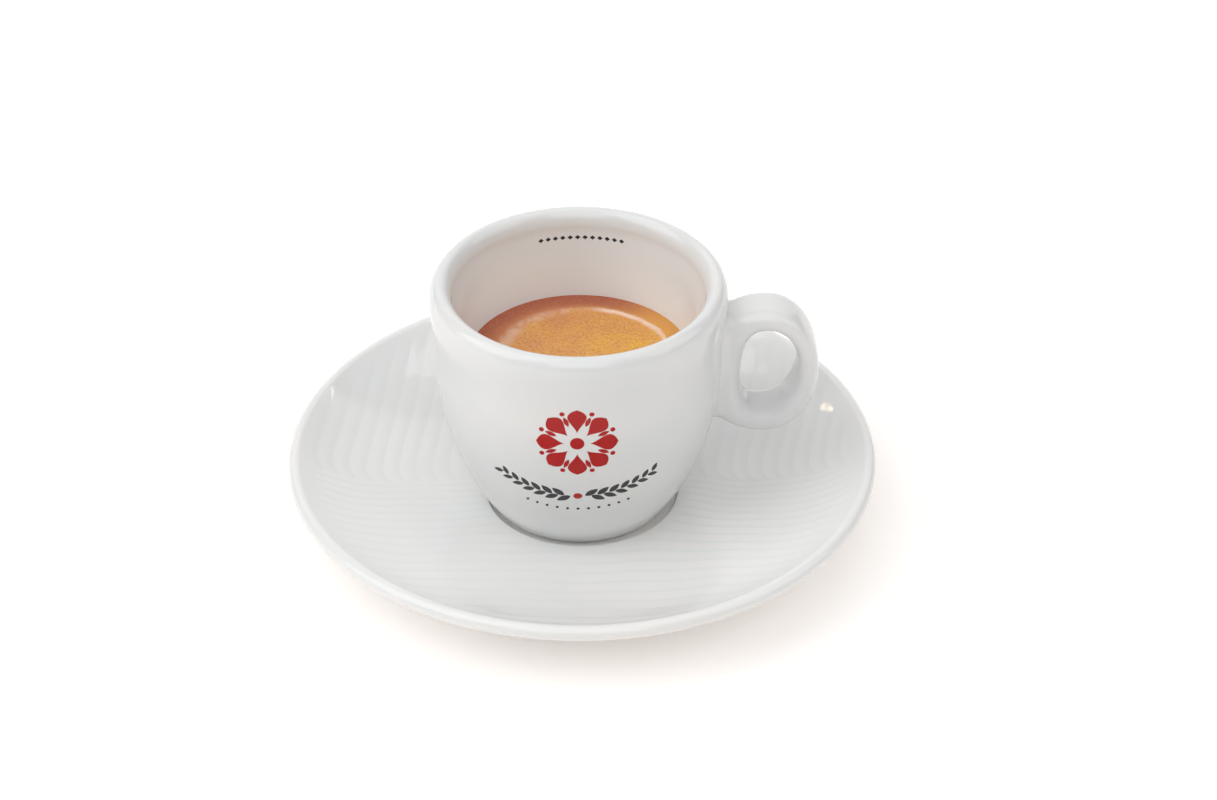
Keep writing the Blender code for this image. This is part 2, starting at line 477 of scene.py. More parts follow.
def saucer_section():
    rim = (SAUCER_RADIUS - RIM_TUBE, RIM_HEIGHT - RIM_TUBE)
    well = np.column_stack((np.linspace(0, WELL[0], 20), np.full(20, WELL[1])))
    step = bezier(WELL, (20.75, WELL[1]), (20.7, WELL_EDGE[1]), WELL_EDGE, 12)
    roll = arc(rim, (RIM_TUBE, RIM_TUBE), RIM_START, -75, 18)
    dish = evened(np.vstack(([WELL_EDGE], bezier(WELL_EDGE, DISH_PULL, DISH_LEAD, roll[0], 400))), 98)
    foot_top = (SAUCER_FOOT_OUTER + 1.4, SAUCER_FOOT_DEPTH + 0.4)
    under = bezier(roll[-1], UNDERSIDE_PULL, UNDERSIDE_LEAD, foot_top, 14)
    foot = bezier(foot_top, (36.4, SAUCER_FOOT_DEPTH), (36.2, 0.0), (SAUCER_FOOT_OUTER - 0.2, 0.0), 6)
    inner = (SAUCER_FOOT_INNER + 0.2, 0.0)
    hollow = bezier(inner, (32.6, 0.0), (32.8, SAUCER_FOOT_DEPTH), (32.0, SAUCER_FOOT_DEPTH), 6)
    middle = [(radius, SAUCER_FOOT_DEPTH) for radius in (24.0, 16.0, 8.0, 0.0)]
    return np.vstack((well, step[:-1], dish, roll[1:], under, foot, [inner], hollow, middle))


def evened(line, count):
    """The same line with its points at equal distances."""
    lengths = np.concatenate(([0], np.cumsum(np.linalg.norm(np.diff(line, axis=0), axis=1))))
    places = np.linspace(0, lengths[-1], count + 1)
    return np.column_stack([np.interp(places, lengths, line[:, k]) for k in range(line.shape[1])])


def signed_volume(mesh):
    mesh.calc_loop_triangles()
    points = positions(mesh)
    corners = np.empty(len(mesh.loop_triangles) * 3, np.int32)
    mesh.loop_triangles.foreach_get("vertices", corners)
    return float(np.linalg.det(points[corners.reshape(-1, 3)]).sum() / 6)


def positions(mesh):
    flat = np.empty(len(mesh.vertices) * 3)
    mesh.vertices.foreach_get("co", flat)
    return flat.reshape(-1, 3)


def move_points(mesh, points):
    mesh.vertices.foreach_set("co", points.astype(np.float32).ravel())
    mesh.update()


def face_outwards(mesh):
    if signed_volume(mesh) < 0:
        mesh.flip_normals()


def turned(name, section, steps, look):
    """A closed body turned from a section given in metres."""
    points = [(radius, 0.0, height) for radius, height in section]
    edges = [(i, i + 1) for i in range(len(points) - 1)]
    obj = grown(name, points, edges, [], turning_tree(), {"Steps": steps, "Material": look})
    face_outwards(obj.data)
    obj.data.shade_smooth()
    return obj


def bar_section(half_thickness, half_width, count):
    """The handle's rounded section, evenly stepped, as rows of (across, along, outward across, outward
    along). It is rounder on the side of the hole."""
    angles = np.linspace(0, 2 * math.pi, 1441)
    power = 2 / np.where(np.cos(angles) >= 0, RING_OUTER_SQUARENESS, RING_INNER_SQUARENESS)
    across = np.sign(np.cos(angles)) * np.abs(np.cos(angles)) ** power * half_thickness
    along = np.sign(np.sin(angles)) * np.abs(np.sin(angles)) ** power * half_width
    line = evened(np.column_stack((across, along)), count)[:-1]
    shares = line / (half_thickness, half_width)
    squareness = np.where(shares[:, :1] >= 0, RING_OUTER_SQUARENESS, RING_INNER_SQUARENESS)
    out = np.sign(shares) * np.abs(shares) ** (squareness - 1) / (half_thickness, half_width)
    return np.hstack((line, out / np.linalg.norm(out, axis=1, keepdims=True)))


def outline(angle, reach, root, half_height, root_squareness):
    """A point of an egg-shaped outline from its centre: an ellipse away from the cup, squarer beside it."""
    across = math.cos(angle)
    power = 1.0 if across >= 0 else 2.0 / root_squareness
    width = reach if across >= 0 else root
    x = math.copysign(abs(across) ** power, across) * width
    z = math.copysign(abs(math.sin(angle)) ** power, math.sin(angle)) * half_height
    return np.array((x, z))


def ring_outline(angle):
    return outline(angle, RING_REACH, RING_ROOT, RING_HALF_HEIGHT, RING_ROOT_SQUARENESS) + RING_CENTRE


def hole_outline(angle):
    """The outline of the hole, whose top leans away from the cup."""
    x, z = outline(angle, HOLE_REACH, HOLE_ROOT, HOLE_HALF_HEIGHT, HOLE_ROOT_SQUARENESS)
    return np.array((HOLE_CENTRE[0] + x + HOLE_LEAN * z, HOLE_CENTRE[1] + z))


def outside_distance(points):
    """How far points in millimetres lie outside the cup's turned wall."""
    line = cup_outside()[::-1]
    radius = np.interp(points[:, 2], line[:, 1], line[:, 0])
    slope = np.gradient(line[:, 0], line[:, 1])
    lean = np.interp(points[:, 2], line[:, 1], slope)
    return (np.hypot(points[:, 0], points[:, 1]) - radius) / np.hypot(1, lean)


def handle_ring(half_width, fillet, look):
    """The handle as a closed loop of rounded bar that swells where it meets the cup's wall."""
    rows = []
    for i in range(RING_LOOPS):
        angle = 2 * math.pi * i / RING_LOOPS
        outer = ring_outline(angle)
        inner = hole_outline(angle)
        middle = (outer + inner) / 2
        half = (outer - inner) / 2
        thickness = np.linalg.norm(half)
        half = half / thickness
        bar = bar_section(thickness, half_width, RING_STEPS)
        points = np.column_stack(
            (middle[0] + half[0] * bar[:, 0], bar[:, 1], middle[1] + half[1] * bar[:, 0])
        )
        outwards = np.column_stack((half[0] * bar[:, 2], bar[:, 3], half[1] * bar[:, 2]))
        away = outside_distance(points)
        near = np.clip(1 - away / (SWELL_REACH * fillet), 0, 1)
        swell = fillet * near**2
        depth = np.clip(-away / SWELL_DEPTH, 0, 1)
        swell *= 1 - depth * depth * (3 - 2 * depth)
        rows.append(points + outwards * swell[:, None])
    points = np.vstack(rows) * MM
    points += (CUP_X, 0, CUP_SEAT)
    faces = []
    for i in range(RING_LOOPS):
        here = i * RING_STEPS
        after = (i + 1) % RING_LOOPS * RING_STEPS
        for j in range(RING_STEPS):
            k = (j + 1) % RING_STEPS
            faces.append((here + j, here + k, after + k, after + j))
    mesh = bpy.data.meshes.new("handle_ring")
    mesh.from_pydata(points.tolist(), [], faces)
    mesh.materials.append(look)
    face_outwards(mesh)
    return placed("handle_ring", mesh)


def united(body, other):
    """The body joined with another closed solid, which is used up."""
    join = body.modifiers.new("Join", "BOOLEAN")
    join.operation = "UNION"
    join.solver = "EXACT"
    join.object = other
    graph = bpy.context.evaluated_depsgraph_get()
    made = bpy.data.meshes.new_from_object(body.evaluated_get(graph))
    body.modifiers.clear()
    body.data = made
    bpy.data.objects.remove(other)


def soften_joint(obj):
    """Evens out the line where the handle meets the cup's wall, and the points near it."""
    built = bmesh.new()
    built.from_mesh(obj.data)
    for vert in [vert for vert in built.verts if len(vert.link_edges) == 2]:
        bmesh.utils.vert_collapse_edge(vert, vert.link_edges[0])
    bmesh.ops.triangulate(built, faces=[face for face in built.faces if len(face.verts) > 4])
    built.verts.index_update()
    points = (np.array([vert.co for vert in built.verts]) - (CUP_X, 0, CUP_SEAT)) / MM
    beside = (points[:, 0] > 24) & (np.abs(points[:, 1]) < 10) & (points[:, 2] < 50)
    beside &= np.abs(outside_distance(points)) < JOINT_NEAR
    line = set()
    for edge in built.edges:
        ends = [vert.index for vert in edge.verts]
        if beside[ends].all() and len(edge.link_faces) == 2 and edge.calc_face_angle() > JOINT_CREASE:
            line.update(ends)
    tree = KDTree(len(line))
    for place in line:
        tree.insert(points[place], place)
    tree.balance()
    shares = np.zeros(len(points))
    around = {}
    for vert in built.verts:
        found = tree.find(points[vert.index])[2]
        if found < JOINT_REACH:
            shares[vert.index] = 0.5 * (1 - found / JOINT_REACH) ** 0.5
            around[vert.index] = [edge.other_vert(vert).index for edge in vert.link_edges]
    for _ in range(JOINT_ROUNDS):
        means = {place: points[others].mean(axis=0) for place, others in around.items()}
        for place, mean in means.items():
            points[place] += (mean - points[place]) * shares[place]
    built.to_mesh(obj.data)
    built.free()
    move_points(obj.data, points * MM + (CUP_X, 0, CUP_SEAT))
    obj.data.shade_smooth()
    obj.data.set_sharp_from_angle(angle=math.radians(48))


def ribs(x, y, m, rise):
    """The saucer's shallow ribs, 0 to 1, at a place in millimetres: long ones across the front, and
    short ones set upright behind a line that rises round the cup."""
    border = -3.3 + 9.2 * m.exp(-((m.size(x) / 38.0) ** 3.0))
    ahead = border - y
    front = m.larger(ahead + 0.6 * m.sin(x / 8.0 + y / 15.0) + 0.3 * m.sin(x / 3.1 - y / 7.0), 0.0)
    front = rib(m.log(1.0 + front * FRONT_RIB_GROWTH) / FRONT_RIB_STEP, m, rise, 0.6)
    lean = 0.14 + m.larger(x, 0.0) * 0.0022
    back = x - lean * y - 3.0 * m.exp(m.larger(-ahead, 0.0) / -2.6)
    back = rib((back + 0.08 * m.sin(y / 6.5 + x / 3.0)) / BACK_RIB_WIDTH, m, rise, 0.3)
    side = m.smooth(ahead, -0.4, 0.4)
    return front * side + back * (1.0 - side)


def rib(count, m, rise, hold):
    """One rib's slope: a quick rise over this share of it, and a fall from the share where it ends."""
    share = m.fraction(count)
    return m.smooth(share, 0.0, rise) * (1.0 - m.smooth(share, hold, 1.0))


def rib_fade(radius, height, m):
    """Where the ribs show: on the upper side, from the sunken well to just inside the rim."""
    middle = 3.5 + 10.4 * (radius / 60.0) ** 4.0
    upper = m.smooth(height - middle, -0.3, 0.3)
    return upper * m.smooth(radius, *RIBS_START) * (1.0 - m.smooth(radius, *RIBS_END))


# Printed ornament


def slab(line, rows):
    """A flat closed motif along X. The line holds (x, half width) from one end to the other."""
    count = len(line)
    points = []
    for top in (0, 1):
        for x, half in line:
            for j in range(rows + 1):
                points.append((x, half * (2 * j / rows - 1), PRINT_THICKNESS * (top - 0.6)))
    size = count * (rows + 1)
    faces = []
    for i in range(count - 1):
        for j in range(rows):
            a = i * (rows + 1) + j
            faces.append((a, a + 1, a + rows + 2, a + rows + 1))
            faces.append((a + size, a + size + rows + 1, a + size + rows + 2, a + size + 1))
        for a, step in ((i * (rows + 1), 1), (i * (rows + 1) + rows, -1)):
            side = (a, a + rows + 1, a + rows + 1 + size, a + size)
            faces.append(side if step > 0 else side[::-1])
    mesh = bpy.data.meshes.new("motif")
    mesh.from_pydata(points, [], faces)
    built = bmesh.new()
    built.from_mesh(mesh)
    bmesh.ops.remove_doubles(built, verts=built.verts, dist=0.002 * MM)
    built.to_mesh(mesh)
    built.free()
    found = ([tuple(v.co) for v in mesh.vertices], [tuple(face.vertices) for face in mesh.polygons])
    bpy.data.meshes.remove(mesh)
    return found


def leaf_line(length, half_width, fullness, count=14):
    """Half widths of a leaf from tip to tip. Fullness above 1 moves its belly outwards."""
    line = []
    for share in np.linspace(0, 1, count):
        swell = math.sin(math.pi * share**fullness) ** 0.8 if 0 < share < 1 else 0.0
        line.append((length * share, half_width * swell))
    return line


def dot_line(radius, count=10):
    angles = np.linspace(math.pi, 0, count)
    return [(radius * math.cos(a), radius * max(math.sin(a), 0.0)) for a in angles]


def gathered(name, pieces):
    """Several meshes as one object with one material slot a look."""
    built = bmesh.new()
    looks = []
    for piece in pieces:
        look = piece.data.materials[0]
        if look not in looks:
            looks.append(look)
        first = len(built.faces)
        built.from_mesh(piece.data)
        built.faces.ensure_lookup_table()
        for face in built.faces[first:]:
            face.material_index = looks.index(look)
        bpy.data.objects.remove(piece)
    mesh = bpy.data.meshes.new(name)
    built.to_mesh(mesh)
    built.free()
    for look in looks:
        mesh.materials.append(look)
    return placed(name, mesh)


def wrap(obj, line, middle_angle, middle_height, inside):
    """Bends a flat ornament, X across and Y up, onto the cup's wall. The line is in metres."""
    line = line[np.argsort(line[:, 1])]
    lengths = np.concatenate(([0], np.cumsum(np.linalg.norm(np.diff(line, axis=0), axis=1))))
    flat = positions(obj.data)
    along = np.interp(middle_height, line[:, 1], lengths) + flat[:, 1]
    radius = np.interp(along, lengths, line[:, 0])
    height = np.interp(along, lengths, line[:, 1])
    slope = np.gradient(line, lengths, axis=0)
    out_radius = np.interp(along, lengths, slope[:, 1])
    out_height = -np.interp(along, lengths, slope[:, 0])
    side = -1 if inside else 1
    angle = middle_angle + side * flat[:, 0] / radius
    reach = radius + side * out_radius * flat[:, 2]
    points = np.column_stack(
        (
            CUP_X + reach * np.cos(angle),
            reach * np.sin(angle),
            CUP_SEAT + height + side * out_height * flat[:, 2],
        )
    )
    move_points(obj.data, points)
    face_outwards(obj.data)
    obj.data.shade_smooth()
    obj.data.set_sharp_from_angle(angle=math.radians(40))


# Materials


def new_material(name, **constants):
    """A material whose shader has these constants, with its graph."""
    made = bpy.data.materials.new(name)
    made.use_nodes = True
    shader = made.node_tree.nodes["Principled BSDF"]
    for label, value in constants.items():
        shader.inputs[label.replace("_", " ")].default_value = value
    return made, Graph(made.node_tree), shader


def object_place(graph, x=0.0, y=0.0):
    """The place on the object in metres, measured from an upright axis."""
    place = graph.out(graph.node("ShaderNodeTexCoord"), "Object")
    return graph.out(graph.node("ShaderNodeMapping", None, {"Vector": place, "Location": (-x, -y, 0.0)}))


def glaze_material(name, colour, foot_height, ribbed):
    """White glaze over porcelain: faint unevenness, a bare ring under the foot, and when ribbed, painted
    shade in the grooves between the ribs.
    """
    made, graph, shader = new_material(name, IOR=1.5)
    place = object_place(graph)
    x, y, z = graph.parts(place)
    cloud = graph.noise(place, 45.0)
    fine = graph.noise(place, 900.0, 3.0)
    cool = tuple(c * s for c, s in zip(colour, (0.955, 0.972, 0.975)))
    warm = tuple(c * s for c, s in zip(colour, (1.0, 0.995, 0.985)))
    shade = graph.mix(graph.smooth(cloud, 0.3, 0.7), cool, warm)
    height = (fine - 0.5) * 0.004
    if ribbed:
        flat_x, flat_y = x / MM, y / MM
        radius = (flat_x * flat_x + flat_y * flat_y) ** 0.5
        shown = rib_fade(radius, z / MM, graph)
        carved = ribs(flat_x, flat_y, graph, GLAZE_RIB_RISE) * shown
        # Painted shade: the grooves between the ribs get a darker, cooler colour, standing in for the shade
        # that ribs this shallow barely cast
        painted_groove_shade = tuple(c * s for c, s in zip(colour, (0.93, 0.955, 0.955)))
        shade = graph.mix((1.0 - carved) * shown * 0.85, shade, painted_groove_shade)
        height = height + carved * 0.01
    bare = 1.0 - graph.smooth(z, foot_height, foot_height + 0.12 * MM)
    graph.feed(shader.inputs["Base Color"], graph.mix(bare, shade, tone(222, 214, 200)))
    graph.feed(shader.inputs["Roughness"], 0.03 + cloud * 0.03 + bare * 0.6)
    bump = graph.node("ShaderNodeBump", None, {"Height": height * MM, "Distance": 1.0, "Strength": 1.0})
    graph.feed(shader.inputs["Normal"], graph.out(bump))
    return made


def print_material(name, colour):
    """Colour fired under the glaze, with a slightly uneven coverage."""
    made, graph, shader = new_material(name, IOR=1.4)
    place = object_place(graph)
    patchy = graph.noise(place, 500.0, 4.0)
    thin = tuple(min(c * 1.2, 1.0) for c in colour)
    graph.feed(shader.inputs["Base Color"], graph.mix(graph.smooth(patchy, 0.35, 0.75) * 0.6, colour, thin))
    graph.feed(shader.inputs["Roughness"], 0.08 + patchy * 0.08)
    return made


def crema_material(settings):
    """Golden foam with a darker ring at the wall, partly painted shade at its left and back, a pale line
    inside it that is mostly a painted highlight, and fine bubbles.
    """
    made, graph, shader = new_material("crema_foam", IOR=1.36)
    place = object_place(graph, CUP_X)
    x, y, z = graph.parts(place)
    x, y = x / MM, y / MM
    radius = (x * x + y * y) ** 0.5
    swirl = graph.noise(place, 160.0, 3.0, 0.6)
    grain = graph.noise(place, 1500.0, 3.0, 0.7)
    speck = graph.noise(place, 3200.0, 2.0, 0.6)
    rightness = graph.smooth(x, -4.0, 14.0)
    gold = graph.mix(rightness, settings.gold, settings.yellow)
    gold = graph.mix(graph.smooth(swirl, 0.35, 0.68) * (0.9 - rightness * 0.5), gold, settings.amber)
    gold = graph.mix(graph.smooth(grain, 0.45, 0.7) * 0.55, gold, settings.brown)
    gold = graph.mix(graph.smooth(speck, 0.5, 0.75) * 0.5, gold, settings.pale)
    gold = graph.mix(graph.smooth(y, 3.0, 17.0) * 0.2, gold, settings.brown)
    # The ring is wider and browner on the left and back than on the right: partly the crema's own redder
    # edge, partly painted shade where its rising edge faces away from the light
    leftness = graph.smooth(x / (radius + 0.5), 0.35, -0.75)
    ring_painted_shade_side = graph.smooth((x * -0.75 + y * 0.66) / (radius + 0.5), -0.25, 0.45)
    deep = graph.smooth(radius + (swirl - 0.5) * 3.0, 18.5, 23.2)
    ring = graph.mix(deep, settings.amber, settings.brown)
    ring_painted_lit_side = graph.mix(0.07 + 0.16 * deep, settings.gold, settings.brown)
    ring = graph.mix(ring_painted_shade_side, ring_painted_lit_side, graph.mix(0.6 + 0.4 * deep, ring, settings.brown))
    ring = graph.mix(graph.smooth(grain, 0.45, 0.7) * 0.3, ring, settings.amber)
    edge = ((x - 1.3) * (x - 1.3) + y * y) ** 0.5 + (swirl - 0.5) * 1.6 + (grain - 0.5) * 1.2
    shade = graph.mix(graph.smooth(edge, 17.8 - leftness * 1.6, 20.0 - leftness * 0.8), gold, ring)
    # Painted highlight: a pale line along the small raised ring inside the brown ring, strongest on the
    # right and broken up in places; in part it is a paler band of foam
    line = graph.smooth(edge, 17.2 - leftness * 1.6, 18.2)
    line = line * (1.0 - graph.smooth(edge, 18.5, 19.3 + leftness))
    rare = 0.4 + 0.35 * graph.smooth(x, 4.0, 14.0)
    broken_highlight = rare + (1.0 - rare) * graph.smooth(graph.noise(place, 380.0, 2.0), 0.38, 0.58)
    strength = 0.16 + 0.84 * graph.smooth(x, 2.0, 7.0) + 0.3 * leftness
    shade = graph.mix(line * broken_highlight * strength, shade, settings.pale)
    graph.feed(shader.inputs["Base Color"], shade)
    graph.feed(shader.inputs["Roughness"], 0.32 + grain * 0.25)
    height = (grain - 0.5) * 0.03 + (speck - 0.5) * 0.015
    bump = graph.node("ShaderNodeBump", None, {"Height": height * MM, "Distance": 1.0, "Strength": 1.0})
    graph.feed(shader.inputs["Normal"], graph.out(bump))
    return made


# Settings


class CupSettings(bpy.types.PropertyGroup):
    """Sizes and colour of the cup."""

    radius: FloatProperty(
        name="Radius", description="Widest radius of the cup", default=CUP_RADIUS, min=0.01, unit="LENGTH"
    )
    height: FloatProperty(
        name="Height", description="Height of the cup", default=CUP_HEIGHT, min=0.01, unit="LENGTH"
    )
    handle_width: FloatProperty(
        name="Handle Width", description="Width of the handle's band",
        default=11 * MM, min=0.002, unit="LENGTH",
    )
    fillet: FloatProperty(
        name="Fillet", description="Rounding between handle and wall",
        default=1.6 * MM, min=0.0002, unit="LENGTH",
    )
    steps: IntProperty(name="Steps", description="Steps round the cup", default=240, min=24)
    colour: FloatVectorProperty(
        name="Colour", description="Colour of the glaze",
        subtype="COLOR", default=(0.773, 0.773, 0.769), min=0, max=1,
    )


class SaucerSettings(bpy.types.PropertyGroup):
    """Sizes and colour of the saucer."""

    radius: FloatProperty(
        name="Radius", description="Outer radius of the saucer",
        default=saucer_high.x, min=0.02, unit="LENGTH",
    )
    rib_height: FloatProperty(
        name="Rib Height", description="Height of the ribs in its dish",
        default=0.02 * MM, min=0, unit="LENGTH",
    )
    steps: IntProperty(name="Steps", description="Steps round the saucer", default=560, min=24)
    colour: FloatVectorProperty(
        name="Colour", description="Colour of the glaze",
        subtype="COLOR", default=(0.83, 0.825, 0.815), min=0, max=1,
    )


class DrinkSettings(bpy.types.PropertyGroup):
    """Level and colours of the espresso."""

    level: FloatProperty(
        name="Level", description="Height of the crema above the floor", default=drink_high.z, unit="LENGTH"
    )
    meniscus: FloatProperty(
        name="Meniscus", description="Rise of the crema at the wall",
        default=0.25 * MM, min=0, unit="LENGTH",
    )
    gold: FloatVectorProperty(
        name="Gold", description="Main colour of the crema",
        subtype="COLOR", default=tone(223, 162, 77), min=0, max=1,
    )
    yellow: FloatVectorProperty(
        name="Yellow", description="Lighter side of it",
        subtype="COLOR", default=tone(228, 170, 60), min=0, max=1,
    )
    amber: FloatVectorProperty(
        name="Amber", description="Warmer patches",
        subtype="COLOR", default=tone(212, 146, 84), min=0, max=1,
    )
    brown: FloatVectorProperty(
        name="Brown", description="Ring at the wall",
        subtype="COLOR", default=tone(166, 90, 68), min=0, max=1,
    )
    # Colour of the bubbles, and of the painted highlight line in the crema
    pale: FloatVectorProperty(
        name="Pale", description="Line and bubbles",
        subtype="COLOR", default=tone(236, 203, 182), min=0, max=1,
    )


class OrnamentSettings(bpy.types.PropertyGroup):
    """Sizes and colours of the printed ornament."""

    rosette_radius: FloatProperty(
        name="Rosette Radius", description="Radius of the rosette",
        default=DRAWN_ROSETTE * MM, min=0.001, unit="LENGTH",
    )
    petals: IntProperty(name="Petals", description="Petals of the rosette", default=8, min=3)
    leaves: IntProperty(name="Leaves", description="Leaves on each side of the garland", default=13, min=1)
    red: FloatVectorProperty(
        name="Red", description="Colour of the rosette",
        subtype="COLOR", default=tone(172, 9, 5), min=0, max=1,
    )
    dark: FloatVectorProperty(
        name="Dark", description="Colour of the garland",
        subtype="COLOR", default=tone(51, 51, 52), min=0, max=1,
    )


class StageSettings(bpy.types.PropertyGroup):
    """The floor, the light and the camera."""

    sky: FloatProperty(name="Sky", description="Strength of the light all round", default=0.1, min=0)
    key: FloatProperty(
        name="Key", description="Power of the light on the left in watts", default=10.6, min=0
    )
    low: FloatProperty(
        name="Low", description="Power of the low light on the left in watts", default=2.2, min=0
    )
    top: FloatProperty(name="Top", description="Power of the light above in watts", default=5.5, min=0)
    side: FloatProperty(
        name="Side", description="Power of the light on the right in watts", default=4.2, min=0
    )
    front: FloatProperty(
        name="Front", description="Power of the light in front in watts", default=5.0, min=0
    )
    back: FloatProperty(name="Back", description="Power of the light behind in watts", default=6.0, min=0)
    glint: FloatProperty(
        name="Glint", description="Power of each small light in watts", default=0.06, min=0
    )
    floor: FloatVectorProperty(
        name="Floor", description="Colour of the floor",
        subtype="COLOR", default=(0.92, 0.905, 0.895), min=0, max=1,
    )
    glow: FloatVectorProperty(
        name="Glow", description="Light that the floor gives off",
        subtype="COLOR", default=(0.205, 0.187, 0.175), min=0,
    )


# Operators


class ESPRESSO_OT_saucer(bpy.types.Operator):
    """Build the saucer with its ribs"""

    bl_idname = "espresso.saucer"
    bl_label = "Saucer"

    def execute(self, context):
        settings = context.scene.espresso_saucer
        look = glaze_material("saucer_glaze", settings.colour, 0.05 * MM, True)
        section = saucer_section() * MM
        section[:, 0] *= settings.radius / (SAUCER_RADIUS * MM)
        piece = turned("saucer_porcelain", section, settings.steps, look)
        points = positions(piece.data)
        flat = points / MM
        numbers = Numbers()
        radius = np.hypot(flat[:, 0], flat[:, 1])
        height = ribs(flat[:, 0], flat[:, 1], numbers, MESH_RIB_RISE)
        points[:, 2] += height * rib_fade(radius, flat[:, 2], numbers) * settings.rib_height
        move_points(piece.data, points)
        piece.data.set_sharp_from_angle(angle=math.radians(50))
        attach(piece, "root")
        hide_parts("saucer")
        return {"FINISHED"}


class ESPRESSO_OT_cup(bpy.types.Operator):
    """Build the cup with its ring handle"""

    bl_idname = "espresso.cup"
    bl_label = "Cup"

    def execute(self, context):
        settings = context.scene.espresso_cup
        look = glaze_material("cup_glaze", settings.colour, CUP_SEAT + 0.05 * MM, False)
        section = cup_section() * (settings.radius / DRAWN_RADIUS, settings.height / DRAWN_HEIGHT)
        piece = turned("cup_porcelain", section, settings.steps, look)
        points = positions(piece.data)
        move_points(piece.data, points + (CUP_X, 0, CUP_SEAT))
        ring = handle_ring(settings.handle_width / MM / 2, settings.fillet / MM, look)
        united(piece, ring)
        soften_joint(piece)
        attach(piece, "root")
        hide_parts("cup")
        return {"FINISHED"}


class ESPRESSO_OT_drink(bpy.types.Operator):
    """Fill the cup with espresso up to its level"""

    bl_idname = "espresso.drink"
    bl_label = "Drink"

    def execute(self, context):
        settings = context.scene.espresso_drink
        rise = settings.meniscus / MM
        level = (settings.level - CUP_SEAT) / MM - rise
        inside = cup_inside()
        edge = np.interp(level + rise, inside[:, 1], inside[:, 0]) + WALL_REACH
        spread = np.linspace(0, edge, 120)
        top = np.column_stack((spread, np.full(len(spread), level)))
        top[:, 1] += rise * np.exp((spread - edge) / MENISCUS_WIDTH)
        top[:, 1] += CREMA_RING_HEIGHT * np.exp(-(((spread - CREMA_RING_RADIUS) / CREMA_RING_WIDTH) ** 2))
        below = inside[inside[:, 1] < level][::-1] + (WALL_REACH, 0.0)
        below[-1] = (0.0, below[-1][1])
        look = crema_material(settings)
        piece = turned("crema", np.vstack((top, below)) * MM, 256, look)
        points = positions(piece.data)
        flat = points / MM
        reach = np.hypot(flat[:, 0], flat[:, 1])
        angle = np.arctan2(flat[:, 1], flat[:, 0])
        on_top = (flat[:, 2] > level - 0.01) & (reach < edge - 0.3)
        uneven = 0.03 * np.sin(3 * angle + reach / 2.1) + 0.02 * np.sin(7 * angle - reach / 1.3)
        flat[:, 2] += on_top * uneven * np.clip(reach / 6, 0, 1) * np.clip((edge - reach) / 2, 0, 1)
        move_points(piece.data, flat * MM + (CUP_X, 0, CUP_SEAT))
        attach(piece, "root")
        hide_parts("espresso")
        return {"FINISHED"}


class ESPRESSO_OT_ornament(bpy.types.Operator):
    """Print the rosette, the garland and the row inside the lip on the cup"""

    bl_idname = "espresso.ornament"
    bl_label = "Ornament"

    def execute(self, context):
        settings = context.scene.espresso_ornament
        tree = repeating_tree()
        red = print_material("red_print", settings.red)
        dark = print_material("dark_print", settings.dark)
        scale = settings.rosette_radius / DRAWN_ROSETTE
        outside = cup_outside() * MM
        inside = cup_inside() * MM

        def row(name, motif, look, count, radius, first, step, heading=0.0, lean=0.0, end_scale=1.0):
            values = {
                "Count": count,
                "Radius": radius,
                "First Angle": first,
                "Step Angle": step,
                "Heading": heading,
                "Lean": lean,
                "End Scale": end_scale,
                "Material": look,
            }
            return grown(name, motif[0], [], motif[1], tree, values)

        turn = 2 * math.pi / settings.petals
        upright = math.pi / 2
        petal = slab(leaf_line(5.9 * scale, 2.0 * scale, 1.7), 6)
        seed = slab(dot_line(1.5 * scale), 6)
        berry = slab(dot_line(0.55 * scale), 4)
        bud = slab(leaf_line(2.6 * scale, 0.5 * scale, 1.0, 8), 2)
        rosette = gathered(
            "rosette_print",
            [
                row("petals", petal, red, settings.petals, 2.7 * scale, upright, turn),
                row("buds", bud, red, settings.petals, 4.6 * scale, upright + turn / 2, turn),
                row("berries", berry, red, settings.petals, 8.0 * scale, upright + turn / 2, turn),
                row("centre", seed, red, 1, 0.0, 0.0, 0.0),
            ],
        )
        wrap(rosette, outside, -upright - math.radians(1), ROSETTE_MIDDLE, False)

        bow = GARLAND_BOW
        leaf = slab(leaf_line(3.4 * MM, 0.78 * MM, 0.9, 10), 4)
        diamond = slab([(-0.55 * MM, 0.0), (0.0, 0.4 * MM), (0.55 * MM, 0.0)], 2)
        knot = slab(dot_line(0.95 * MM), 4)
        step = math.radians(2.15)
        pieces = [row("knot", knot, red, 1, bow, -upright, 0.0)]
        for side in (1, -1):
            start = -upright + side * math.radians(2.6)
            heading = side * upright
            pieces.append(
                row("leaves", leaf, dark, settings.leaves, bow, start, side * step, heading, 0.62, 0.7)
            )
        wide = step * 1.5
        pieces.append(row("diamonds", diamond, dark, 11, bow + 4.6 * MM, -upright - 5 * wide, wide))
        garland = gathered("garland_print", pieces)
        points = positions(garland.data)
        points[:, 1] += bow
        move_points(garland.data, points)
        wrap(garland, outside, -upright - math.radians(1), GARLAND_MIDDLE, False)

        dot = slab([(-0.62 * MM, 0.0), (0.0, 0.5 * MM), (0.62 * MM, 0.0)], 4)
        far = 400 * MM
        step = LIP_ROW_STEP / far
        dots = gathered("lip_print", [row("dots", dot, dark, 12, far, upright - 5.5 * step, step, upright)])
        points = positions(dots.data)
        points[:, 1] -= far
        move_points(dots.data, points)
        wrap(dots, inside, math.radians(88.5), LIP_ROW_MIDDLE, True)

        for piece in (rosette, garland, dots):
            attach(piece, "root")
        return {"FINISHED"}


def area_light(name, place, size, power, colour=(1, 1, 1)):
    data = bpy.data.lights.new(name, "AREA")
    data.shape = "RECTANGLE"
    data.size, data.size_y = size
    data.energy = power
    data.color = colour
    light = placed(name, data)
    light.location = place
    direction = np.array(LIGHT_AIM) - np.array(place)
    light.rotation_euler = (
        math.atan2(math.hypot(direction[0], direction[1]), -direction[2]),
        0.0,
        math.atan2(-direction[0], direction[1]),
    )


